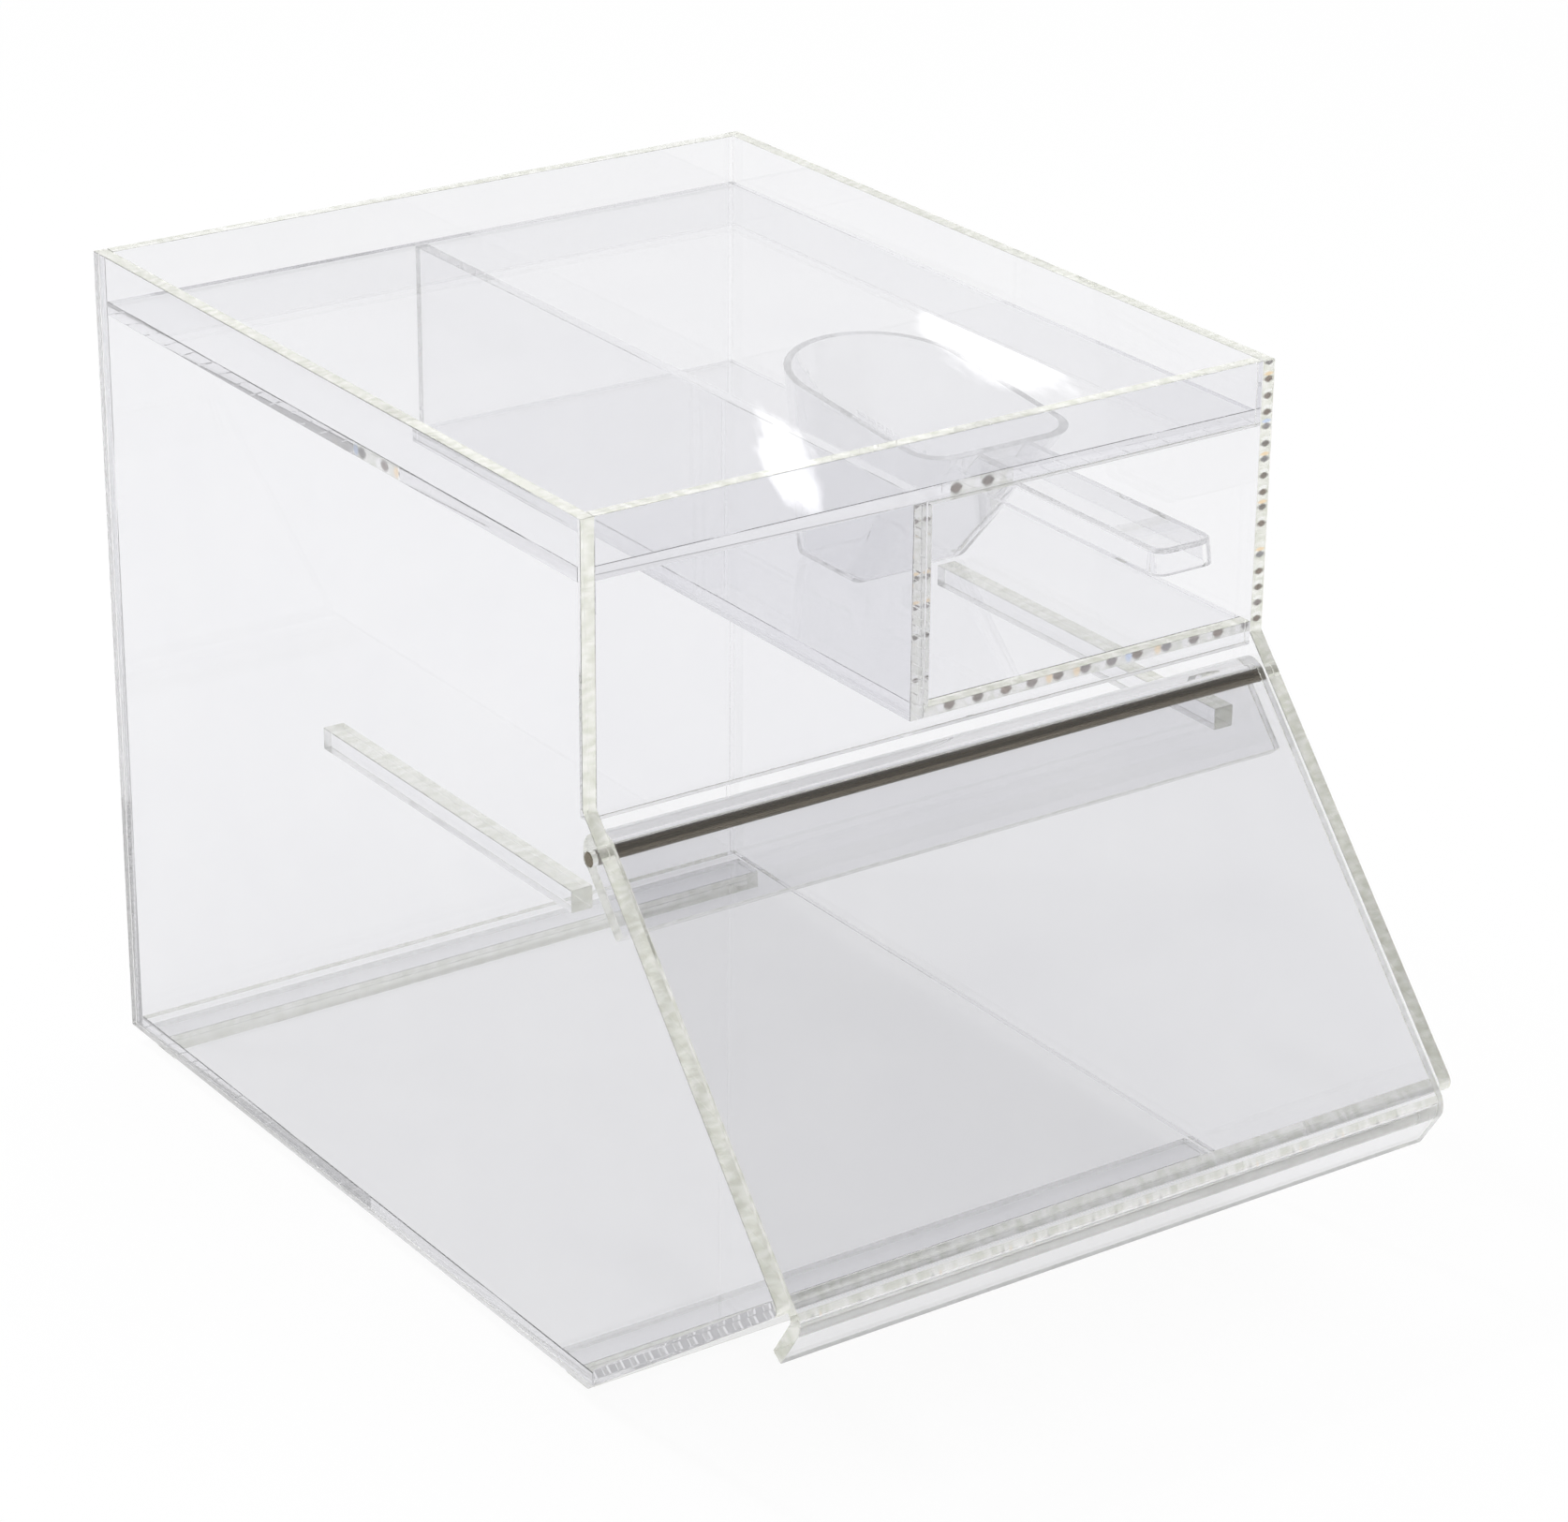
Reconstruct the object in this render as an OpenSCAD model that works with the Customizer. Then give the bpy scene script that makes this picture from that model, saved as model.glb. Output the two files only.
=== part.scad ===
// Clear bulk candy bin: a box of solvent-welded cast acrylic sheet with a slanted
// front chute, a hook-over lid on a rod, and a scoop compartment under the top.
// Millimetres, +Z up. The origin is the centre of the bounding box, on the table.
// Modules work in the bin's own corner frame: X from the left outer face, Y from the
// front face backwards, Z from the base's underside. placed() moves them to the origin.

/* [Body] */
// Outside width across both side panels
body_w = 240; // [200:1:320]
// Outside depth of the box behind its front face
body_d = 280; // [220:1:360]
// Height from the base's underside to the rim
body_h = 267; // [262:1:330]
// Thickness of the cast sheet
sheet = 4.5; // [3:0.1:5.5]
// Depth of the recess inside the rim that the next bin's feet stand in
rim_recess = 15.5; // [8:0.5:18]

/* [Chute] */
// Height at which the side panels' front edge turns to the slant
slant_top = 182; // [165:1:190]
// Reach of the nose in front of the front face
nose_out = 96; // [75:1:120]
// Height of the nose
nose_h = 70; // [50:1:90]
// Radius at the tip of the nose
nose_r = 3; // [1:0.5:5]
// How far the front panel's lower edge lies below the top of the slant
front_drop = 4; // [2:0.5:8]

/* [Scoop compartment] */
// Clear width between the divider and the right side panel
compartment_w = 118.8; // [80:0.2:140]
// Height of the strip of front panel left under the compartment's mouth
mouth_strip = 7.5; // [6.5:0.5:12]

/* [Feet and rails] */
// Width of a foot bar, front to back
foot_w = 12; // [8:1:20]
// Height of a foot bar
foot_h = 6; // [4:0.5:10]
// Setback of the foot bars from the front and back faces
foot_inset = 8; // [6:0.5:20]
// Clearance between a foot bar's end and the rim of the bin below
nest_gap = 0.5; // [0.3:0.1:1.5]
// Side of the square rails
rail = 7; // [5:0.5:10]
// Height of the rails' top face
rail_top = 154; // [110:1:158]
// Setback of the rails from the front face
rail_front = 9; // [7:1:40]
// Length of the rails
rail_len = 138; // [80:1:180]

/* [Hinge rod] */
// Diameter of the rod
rod_d = 4.5; // [3:0.1:6]
// Distance from the top of the slant to the rod, along the slant
rod_along = 12; // [11:0.5:18]
// Radial clearance between the rod and its holes
rod_hole_gap = 0.03; // [0.01:0.01:0.1]
// Radial running clearance between the rod and the lid's fold
rod_fold_gap = 0.08; // [0.02:0.01:0.1]

/* [Lid] */
// Clearance between the lid and each side panel
lid_side_gap = 0.8; // [0.4:0.1:2]
// Length of the leg that returns behind the rod
return_len = 23; // [15:1:28]
// Inner radius of the bend at the nose
nose_bend_r = 2; // [1:0.5:4]
// Distance from the chin plate's corner to the start of that bend
nose_bend_past = 0.9; // [0.3:0.1:3]
// Angle through which the lip is bent
lip_angle = 74; // [60:1:85]
// Length of the flat part of the lip
lip_len = 14; // [8:1:22]
// Gap between the closed lid and the chin plate's edge
lid_rest_gap = 0.2; // [0.1:0.05:0.6]

/* [Scoop] */
// Wall thickness of the moulded scoop
scoop_wall = 2.2; // [1.6:0.1:3]
// Width of the bowl's flat bottom
bowl_bottom_w = 41; // [34:1:48]
// Length of the bowl's flat bottom
bowl_bottom_len = 33; // [24:1:44]
// Corner radius of the bowl's flat bottom
bowl_bottom_r = 4; // [3:0.5:8]
// Width of the bowl across its rim
bowl_rim_w = 60; // [54:1:70]
// Corner radius of the rim beside the handle
bowl_rim_r = 13; // [8:1:18]
// Height of the rim at the handle
bowl_back_h = 50; // [42:0.5:52]
// Height of the rim at the lip
bowl_lip_h = 58.5; // [53:0.5:60]
// How far the back wall leans out under the handle
back_lean = 43; // [30:1:50]
// How far the lip leans out beyond the bottom
lip_lean = 15; // [8:1:25]
// Length of the handle
handle_len = 87; // [60:1:110]
// Width of the handle at its free end
handle_end_w = 22.5; // [19:0.5:30]
// Width of the handle at the bowl
handle_root_w = 21.5; // [16:0.5:26]
// Height of the handle's channel section
handle_h = 8; // [6:0.5:12]
// Corner radius of the handle's free end
handle_r = 5; // [3.5:0.5:7]
// Draft of the handle's sides, bottom to top
handle_draft = 1; // [0.5:0.1:1.2]
// How far the handle stands out of the compartment's mouth
handle_out = 41; // [0:1:41]
// Gap under the bowl where it stands on the compartment floor
scoop_seat_gap = 0.2; // [0.1:0.05:0.5]

/* [Hidden] */
$fn = 64;

sheet_color = [0.85, 0.88, 0.87, 0.35];
edge_color = [0.80, 0.85, 0.76, 0.5];
rod_color = [0.42, 0.38, 0.34];
scoop_color = [0.88, 0.89, 0.90, 0.4];

// Thickness of the thin slices that the scoop's hulls are stretched over
slice = 0.01;
// Steps in the round of the lid's nose bend
bend_steps = 12;
// How far a cutting shape runs past the surface that it cuts
overcut = 1;
// Smallest corner radius left inside the bowl's bottom
least_r = 1;
// Facets of the circles inside a hull
hull_fn = 32;

// Inner faces and levels of the box
inner_w = body_w - 2 * sheet;
inner_d = body_d - 2 * sheet;
inner_right = body_w - sheet;
plate_top = body_h - rim_recess;
plate_low = plate_top - sheet;
front_low = slant_top - front_drop;
floor_top = front_low + mouth_strip;
floor_low = floor_top - sheet;
divider_right = inner_right - compartment_w;

// The slant runs down from its top to the nose. Turning by slant_turn takes a shape
// drawn along +X, with the bin's inside on its +Y side, to that direction.
slant_dir = [-nose_out, nose_h - slant_top] / norm([nose_out, slant_top - nose_h]);
inward = [-slant_dir[1], slant_dir[0]];
slant_turn = 180 + atan2(slant_top - nose_h, nose_out);

// The chin runs from the base's front edge up to the nose
chin_dir = [-nose_out, nose_h] / norm([nose_out, nose_h]);
chin_up = [chin_dir[1], -chin_dir[0]];

// The lid's fold goes round the rod, with the lid's face level with the slant
fold_r = rod_d / 2 + rod_fold_gap;
fold_outer_r = fold_r + sheet;
rod_at = [0, slant_top] + rod_along * slant_dir + fold_outer_r * inward;

// A point's depth behind the slant, and its distance from the rod along the slant
function depth_in(point) = (point - [0, slant_top]) * inward;
function along_slant(point) = (point - rod_at) * slant_dir;

// The chin plate's front edge lies this far behind the slant, just clear of the lid.
// chin_reach is the distance along the chin from a starting point to that depth.
chin_seat = sheet + lid_rest_gap;
function chin_reach(start) = (chin_seat - depth_in(start)) / (chin_dir * inward);
chin_inner = sheet * chin_up;
chin_low_end = chin_reach([0, 0]) * chin_dir;
chin_high_end = chin_inner + chin_reach(chin_inner) * chin_dir;

// The bend at the nose starts just past the chin plate's corner
nose_bend_u = along_slant(chin_low_end) + nose_bend_past;
nose_bend_w = nose_bend_r - fold_r;
nose_bend_at = rod_at + nose_bend_u * slant_dir + nose_bend_w * inward;

// The lip's outermost point and the back face give the middle of the depth
front_most = nose_bend_at[0] - nose_bend_r - sheet;
mid_y = (front_most + body_d) / 2;

// Places along the scoop, from the handle's free end backwards
scoop_x = inner_right - compartment_w / 2;
bottom_start = handle_len + back_lean;
bottom_end = bottom_start + bowl_bottom_len;
lip_end = bottom_end + lip_lean;
rim_slope = atan2(bowl_lip_h - bowl_back_h, lip_end - handle_len);

// Moves a shape from the bin's corner frame to the part's origin
module placed() {
    translate([-body_w / 2, -mid_y, foot_h]) children();
}

// Extrudes an outline drawn in Y and Z from x0 over a width
module across(x0, width) {
    translate([x0, 0, 0]) rotate([90, 0, 90]) linear_extrude(width) children();
}

// Points on an arc round a centre, from angle a0 to angle a1
function arc(centre, r, a0, a1, steps) =
    [for (i = [0:steps]) centre + r * [cos(a0 + (a1 - a0) * i / steps),
        sin(a0 + (a1 - a0) * i / steps)]];

// Side panel outline, with the tip of the nose rounded
module side_outline() {
    tip = [-nose_out, nose_h];
    half_turn = acos(slant_dir * chin_dir) / 2;
    back_off = nose_r * tan(half_turn);
    centre = tip - back_off * slant_dir - nose_r * [-inward[0], -inward[1]];
    difference() {
        polygon([[body_d, 0], [body_d, body_h], [0, body_h], [0, slant_top], tip, [0, 0]]);
        difference() {
            polygon([tip, tip - back_off * slant_dir, centre, tip - back_off * chin_dir]);
            translate(centre) circle(nose_r);
        }
    }
}

module side_panel(x0) {
    placed() difference() {
        across(x0, sheet) side_outline();
        translate([x0 - overcut, rod_at[0], rod_at[1]]) rotate([0, 90, 0])
            cylinder(d = rod_d + 2 * rod_hole_gap, h = sheet + 2 * overcut);
    }
}

module left_side_panel() {
    color(sheet_color) side_panel(0);
}

module right_side_panel() {
    color(sheet_color) side_panel(inner_right);
}

module back_panel() {
    color(sheet_color) placed()
        translate([sheet, body_d - sheet, 0]) cube([inner_w, sheet, body_h]);
}

// The mouth of the scoop compartment is cut out of the front panel, level with the
// compartment's floor, divider and top, and open to the right side panel
module front_panel() {
    color(sheet_color) placed() difference() {
        translate([sheet, 0, front_low]) cube([inner_w, sheet, body_h - front_low]);
        translate([divider_right, -overcut, floor_top])
            cube([compartment_w + overcut, sheet + 2 * overcut, plate_low - floor_top]);
    }
}

module top_plate() {
    color(sheet_color) placed()
        translate([sheet, sheet, plate_low]) cube([inner_w, inner_d, sheet]);
}

module divider_panel() {
    color(sheet_color) placed()
        translate([divider_right - sheet, sheet, floor_low])
            cube([sheet, inner_d, plate_low - floor_low]);
}

module compartment_floor() {
    color(sheet_color) placed()
        translate([divider_right, sheet, floor_low])
            cube([compartment_w, inner_d, sheet]);
}

module base_plate() {
    color(sheet_color) placed()
        translate([sheet, 0, 0]) cube([inner_w, body_d - sheet, sheet]);
}

// Chin plate, mitred upright against the base's front edge and cut along the lid
module chin_plate() {
    low_cut = chin_inner - (chin_inner[0] / chin_dir[0]) * chin_dir;
    color(edge_color) placed()
        across(sheet, inner_w)
            polygon([[0, 0], low_cut, chin_high_end, chin_low_end]);
}

module foot_bar(y0) {
    color(sheet_color) placed()
        translate([sheet + nest_gap, y0, -foot_h])
            cube([inner_w - 2 * nest_gap, foot_w, foot_h]);
}

module front_foot_bar() {
    foot_bar(foot_inset);
}

module rear_foot_bar() {
    foot_bar(body_d - foot_inset - foot_w);
}

module side_rail(x0) {
    color(edge_color) placed()
        translate([x0, rail_front, rail_top - rail]) cube([rail, rail_len, rail]);
}

module left_rail() {
    side_rail(sheet);
}

module right_rail() {
    side_rail(inner_right - rail);
}

module hinge_rod() {
    color(rod_color) placed()
        translate([0, rod_at[0], rod_at[1]])
            rotate([0, 90, 0]) cylinder(d = rod_d, h = body_w);
}

// The lid's sheet from the rod to the lip, drawn along +X with the inside on +Y
module lid_sheet() {
    bend_at = [nose_bend_u, nose_bend_w];
    lip_dir = [cos(lip_angle), sin(lip_angle)];
    outer = arc(bend_at, nose_bend_r + sheet, -90, lip_angle - 90, bend_steps);
    inner = arc(bend_at, nose_bend_r, lip_angle - 90, -90, bend_steps);
    polygon(concat([[0, -fold_r], [0, -fold_outer_r]], outer,
        [outer[bend_steps] + lip_len * lip_dir, inner[0] + lip_len * lip_dir], inner));
}

// Lid section: the sheet, the fold round the rod and the leg that returns behind it
module lid_outline() {
    lid_sheet();
    difference() {
        circle(fold_outer_r);
        circle(fold_r);
        translate([0, -fold_outer_r - overcut])
            square([fold_outer_r + overcut, 2 * (fold_outer_r + overcut)]);
    }
    translate([0, fold_r]) square([return_len, sheet]);
}

module lid() {
    width = inner_w - 2 * lid_side_gap;
    color(sheet_color) placed()
        across(sheet + lid_side_gap, width)
            translate(rod_at) rotate(slant_turn) lid_outline();
}

// A thin slice of the bowl's bottom, drawn in by a wall
module bowl_bottom_slice(inset, z0) {
    r = bowl_bottom_r - min(inset, bowl_bottom_r - least_r);
    half_w = bowl_bottom_w / 2 - inset - r;
    for (x = [-half_w, half_w])
        for (y = [bottom_start + inset + r, bottom_end - inset - r])
            translate([x, y, z0]) cylinder(r = r, h = slice, $fn = hull_fn);
}

// A thin slice of the bowl at the level of its lip: straight beside the handle, with a
// half-round lip at the other end. The back wall's lean carries on up to this level.
module bowl_top_slice(inset, z0) {
    back = bottom_start - back_lean * bowl_lip_h / bowl_back_h + inset;
    r = bowl_rim_r - inset;
    half_w = bowl_rim_w / 2 - inset - r;
    for (x = [-half_w, half_w])
        translate([x, back + r, z0]) cylinder(r = r, h = slice, $fn = hull_fn);
    translate([0, lip_end - bowl_rim_w / 2, z0])
        cylinder(r = bowl_rim_w / 2 - inset, h = slice, $fn = 64);
}

module bowl_solid() {
    intersection() {
        hull() {
            bowl_bottom_slice(0, 0);
            bowl_top_slice(0, bowl_lip_h);
        }
        // Everything under the rim, which rises from the handle to the lip
        translate([0, handle_len, bowl_back_h])
            rotate([rim_slope, 0, 0])
                translate([-bowl_rim_w, -lip_end, -2 * bowl_lip_h])
                    cube([2 * bowl_rim_w, 2 * lip_end, 2 * bowl_lip_h]);
    }
}

module bowl_hollow() {
    hull() {
        bowl_bottom_slice(scoop_wall, scoop_wall);
        bowl_top_slice(scoop_wall, bowl_lip_h + overcut);
    }
}

// Handle bar drawn in by a wall, from a level up to a level, running into the bowl
module handle_bar(inset, low, high) {
    r = handle_r - inset;
    end_x = handle_end_w / 2 - handle_r;
    root_x = handle_root_w / 2 - handle_r;
    hull() {
        for (side = [-1, 1]) {
            translate([side * end_x, handle_r, low])
                cylinder(r1 = r, r2 = r - handle_draft, h = high - low, $fn = hull_fn);
            translate([side * root_x, handle_len + bowl_rim_r, low])
                cylinder(r1 = r, r2 = r - handle_draft, h = high - low, $fn = hull_fn);
        }
    }
}

module scoop() {
    seat = [scoop_x, -handle_out, floor_top + scoop_seat_gap];
    color(scoop_color) placed() translate(seat) difference() {
        union() {
            bowl_solid();
            difference() {
                handle_bar(0, bowl_back_h - handle_h, bowl_back_h);
                handle_bar(scoop_wall, bowl_back_h - handle_h - overcut,
                    bowl_back_h - scoop_wall);
            }
        }
        bowl_hollow();
    }
}

left_side_panel();
right_side_panel();
back_panel();
front_panel();
top_plate();
divider_panel();
compartment_floor();
base_plate();
chin_plate();
front_foot_bar();
rear_foot_bar();
left_rail();
right_rail();
hinge_rod();
lid();
scoop();
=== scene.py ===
import math

import bmesh
import bpy
from mathutils import Matrix, Quaternion, Vector


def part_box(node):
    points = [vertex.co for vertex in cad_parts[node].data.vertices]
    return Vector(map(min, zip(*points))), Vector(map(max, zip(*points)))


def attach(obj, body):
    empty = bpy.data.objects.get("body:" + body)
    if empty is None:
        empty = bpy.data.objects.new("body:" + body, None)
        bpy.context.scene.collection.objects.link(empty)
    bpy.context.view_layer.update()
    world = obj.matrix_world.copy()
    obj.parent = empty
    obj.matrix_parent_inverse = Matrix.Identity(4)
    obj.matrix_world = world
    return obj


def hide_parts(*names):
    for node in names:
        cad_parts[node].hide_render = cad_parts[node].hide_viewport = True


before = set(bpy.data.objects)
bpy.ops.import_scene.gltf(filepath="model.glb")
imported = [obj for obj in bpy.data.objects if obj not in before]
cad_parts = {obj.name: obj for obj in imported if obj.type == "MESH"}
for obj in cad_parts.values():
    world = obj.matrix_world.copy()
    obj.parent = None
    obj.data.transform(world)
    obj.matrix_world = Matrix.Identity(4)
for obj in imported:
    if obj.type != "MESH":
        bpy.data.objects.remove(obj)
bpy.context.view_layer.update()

# Working sizes, in metres
MM = 0.001
# Air film left between the faces of a solvent joint, so that each cut edge keeps its own look
WELD_FILM = 0.03 * MM
# Scraped corner along the cut edges of the sheet
EDGE_BREAK = 0.25 * MM
# Steps in the small roundings
BREAK_STEPS = 2
# Points nearer than this are one point, and faces that turn less than this are one face
MERGE_WITHIN = 0.001 * MM
FLAT_WITHIN = math.radians(1)
# Slack in asking whether a point lies at a level
LEVEL_SLACK = 1e-7
# How squarely a face looks a given way, as a cosine
SQUARELY = 0.9
LOOSELY = 0.3

X, Y, Z = Vector((1, 0, 0)), Vector((0, 1, 0)), Vector((0, 0, 1))

# Levels and faces of the bin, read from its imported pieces
inner_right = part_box("right_side_panel")[0].x
front_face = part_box("front_panel")[0].y
back_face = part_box("back_panel")[1].y
table_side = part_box("base_plate")[0].z
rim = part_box("back_panel")[1].z
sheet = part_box("base_plate")[1].z - table_side
mouth_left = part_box("divider_panel")[1].x
mouth_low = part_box("compartment_floor")[1].z
mouth_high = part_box("top_plate")[0].z
front_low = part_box("front_panel")[0].z

# The slant and the nose of the chute. The front panel ends a little below the slant's top
FRONT_DROP = 4 * MM
slant_top = front_low + FRONT_DROP
NOSE_OUT = 96 * MM
NOSE_HEIGHT = 70 * MM
NOSE_RADIUS = 3 * MM
NOSE_STEPS = 8
slant_start = Vector((0, front_face, slant_top))
nose_tip = Vector((0, front_face - NOSE_OUT, table_side + NOSE_HEIGHT))
chin_start = Vector((0, front_face, table_side))
slant_dir = (nose_tip - slant_start).normalized()
chin_dir = (nose_tip - chin_start).normalized()
inward = slant_dir.cross(X).normalized()
if inward.y < 0:
    inward = -inward

# The chin plate is drawn in to this share of its depth and height, which leaves its film
CHIN_SQUEEZE = 0.9995

# The rod, and the lid that hangs on it
rod_low, rod_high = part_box("hinge_rod")
rod_radius = (rod_high.z - rod_low.z) / 2
rod_at = (rod_low + rod_high) / 2
ROD_CHAMFER = 0.3 * MM
HOLE_CLEARANCE = 0.03 * MM
FOLD_CLEARANCE = 0.08 * MM
RETURN_LENGTH = 23 * MM
NOSE_BEND_RADIUS = 2 * MM
LIP_TURN = math.radians(74)
LIP_LENGTH = 14 * MM
FOLD_STEPS = 28
BEND_STEPS = 14
ROUND_STEPS = 64
LID_SAW_PITCH = 8 * MM
# Shares of the painted saw marks, shade and highlights, at the lip's end and on the lid's other edges
LIP_END_MARKS = 0.6
LID_EDGE_MARKS = 0.2
fold_inner = rod_radius + FOLD_CLEARANCE
fold_outer = fold_inner + sheet

# The scoop's own sizes, from its seat and the free end of its handle
SCOOP_WALL = 2.2 * MM
BOTTOM_WIDTH = 41 * MM
BOTTOM_LENGTH = 33 * MM
BOTTOM_CORNER = 4 * MM
BOTTOM_ROUND = 2.5 * MM
RIM_WIDTH = 60 * MM
RIM_CORNER = 13 * MM
RIM_ROUND = 0.6 * MM
# The lip is nearly a half circle: its two corners leave a short straight between them
LIP_ROUND_SHARE = 0.995
BACK_HEIGHT = 50 * MM
LIP_HEIGHT = 58.5 * MM
BACK_LEAN = 43 * MM
LIP_LEAN = 15 * MM
HANDLE_LENGTH = 87 * MM
HANDLE_END_WIDTH = 22.5 * MM
HANDLE_ROOT_WIDTH = 21.5 * MM
HANDLE_HEIGHT = 8 * MM
HANDLE_CORNER = 5 * MM
HANDLE_ROUND = 1 * MM
# The handle narrows upwards, so that it leaves its mould, to these shares across and along
HANDLE_DRAFT = (0.93, 0.993)
CORNER_STEPS = 10
SMALL_ROUND_STEPS = 4
RIM_ROUND_STEPS = 3
# How far a cutting form runs past what it cuts
CUT_PAST = 1 * MM
SCOOP_MERGE_WITHIN = 0.01 * MM
RIM_WITHIN = 0.05 * MM
scoop_low, scoop_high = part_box("scoop")
scoop_seat = Vector(((scoop_low.x + scoop_high.x) / 2, scoop_low.y, scoop_low.z))

# Sizes of the patterns in the surfaces
HAZE_PATCH = 35.7 * MM
CASTING_WAVE = 62.5 * MM
FLOW_WAVE = 22.2 * MM
SCUFF = 2.5 * MM
DIE_LINE = 0.4 * MM
DIE_LINE_LENGTH = 83.3 * MM

# Painted saw marks on a cut edge: each saw pitch holds a lens of painted shade and a painted
# highlight after it. Their lengths are shares of the pitch, and their width is a share of the
# sheet's thickness
SHADE_LENS_HALF_LENGTH = 0.26
HIGHLIGHT_LENS_HALF_LENGTH = 0.16
HIGHLIGHT_AFTER_SHADE_LENS = 0.32
LENS_HALF_WIDTH = 0.55
# Grains of the scraped surface in a saw pitch, and in the sheet's thickness
GRAINS_ALONG = 2.4
GRAINS_ACROSS = 0.9


def linear(colour):
    """An sRGB hex colour as linear red, green, blue and an alpha of 1."""
    parts = [int(colour[i:i + 2], 16) / 255 for i in (1, 3, 5)]
    return [p / 12.92 if p <= 0.04045 else ((p + 0.055) / 1.055) ** 2.4 for p in parts] + [1]


def add(tree, kind, sockets=None, **settings):
    """Adds a node, gives it its settings, and sets or links its sockets."""
    made = tree.nodes.new(kind)
    for name, value in settings.items():
        setattr(made, name, value)
    for name, value in (sockets or {}).items():
        if isinstance(value, bpy.types.NodeSocket):
            tree.links.new(value, made.inputs[name])
        else:
            made.inputs[name].default_value = value
    return made


def new_material(name):
    """A material with an empty node tree, and that tree."""
    material = bpy.data.materials.new(name)
    material.use_nodes = True
    material.node_tree.nodes.clear()
    return material, material.node_tree


def let_lamps_through(tree, surface, shade):
    """Lamps reach what stands behind clear plastic, dimmed by the shade at each face."""
    path = add(tree, "ShaderNodeLightPath")
    open_to_light = add(tree, "ShaderNodeBsdfTransparent", {"Color": linear(shade)})
    mixed = add(tree, "ShaderNodeMixShader", {
        0: path.outputs["Is Shadow Ray"],
        1: surface.outputs["BSDF"],
        2: open_to_light.outputs["BSDF"],
    })
    add(tree, "ShaderNodeOutputMaterial", {"Surface": mixed.outputs["Shader"]})


def cast_acrylic_face(name, clear, cloudy):
    """Cast PMMA sheet as it leaves the mould: mirror smooth and clear, with a faint cool
    grey cast that varies a little, and long shallow waves in its face."""
    material, tree = new_material(name)
    place = add(tree, "ShaderNodeTexCoord").outputs["Object"]
    haze = add(tree, "ShaderNodeTexNoise", {"Vector": place, "Scale": 1 / HAZE_PATCH, "Detail": 4.0})
    tone = add(tree, "ShaderNodeMix", {
        "Factor": haze.outputs["Fac"],
        "A": linear(clear), "B": linear(cloudy),
    }, data_type="RGBA")
    waves = add(tree, "ShaderNodeTexNoise", {"Vector": place, "Scale": 1 / CASTING_WAVE, "Detail": 1.0})
    bump = add(tree, "ShaderNodeBump", {
        "Height": waves.outputs["Fac"], "Strength": 0.2, "Distance": 0.02 * MM,
    })
    surface = add(tree, "ShaderNodeBsdfPrincipled", {
        "Base Color": tone.outputs["Result"],
        "Roughness": 0.0,
        "Normal": bump.outputs["Normal"],
        "IOR": 1.49,
        "Transmission Weight": 1.0,
    })
    let_lamps_through(tree, surface, "#fafafa")
    return material


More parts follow.
